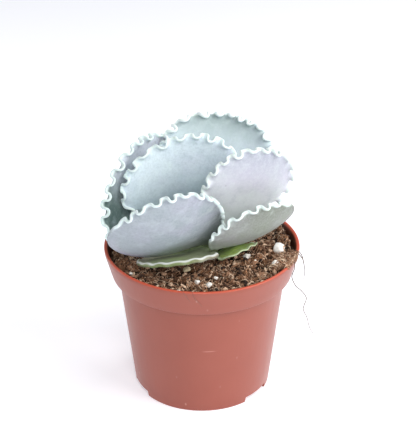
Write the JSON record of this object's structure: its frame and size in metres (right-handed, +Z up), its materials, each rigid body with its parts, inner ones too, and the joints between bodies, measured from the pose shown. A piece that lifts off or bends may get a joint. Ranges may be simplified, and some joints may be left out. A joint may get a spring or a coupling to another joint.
{
  "type": "potted succulent",
  "caption": "Young succulent with broad, pale, upward-cupped leaves and crinkled white margins, growing in soil in a round flared plastic nursery pot.",
  "frame": {"origin": "on the ground, under the middle of the pot", "axes": "+Z up, -Y towards the side that the two low front leaves face, +X to the right of it"},
  "size_m": [0.12, 0.12, 0.1676],
  "materials": {
    "pot_plastic": "thin moulded terracotta-coloured polypropylene, satin",
    "potting_soil": null,
    "stem_skin": null,
    "green_leaf": "fleshy leaf with its bloom worn off, semi-matt; leather stands in for plant tissue",
    "bloomed_leaf": "fleshy leaf under a pale waxy bloom, matt; leather stands in for plant tissue"
  },
  "bodies": {
    "root": {"pot": "pot_plastic", "soil": "potting_soil", "stem": "stem_skin", "leaf_low_right": "green_leaf", "leaf_low_left": "green_leaf", "leaf_low_front": "green_leaf", "leaf_low_back": "green_leaf", "leaf_front_right": "bloomed_leaf", "leaf_left": "bloomed_leaf", "leaf_front_left": "bloomed_leaf", "leaf_back": "bloomed_leaf", "leaf_right": "bloomed_leaf", "leaf_centre": "bloomed_leaf", "bud_leaf_front": "bloomed_leaf", "bud_leaf_back": "bloomed_leaf"}
  },
  "joints": []
}
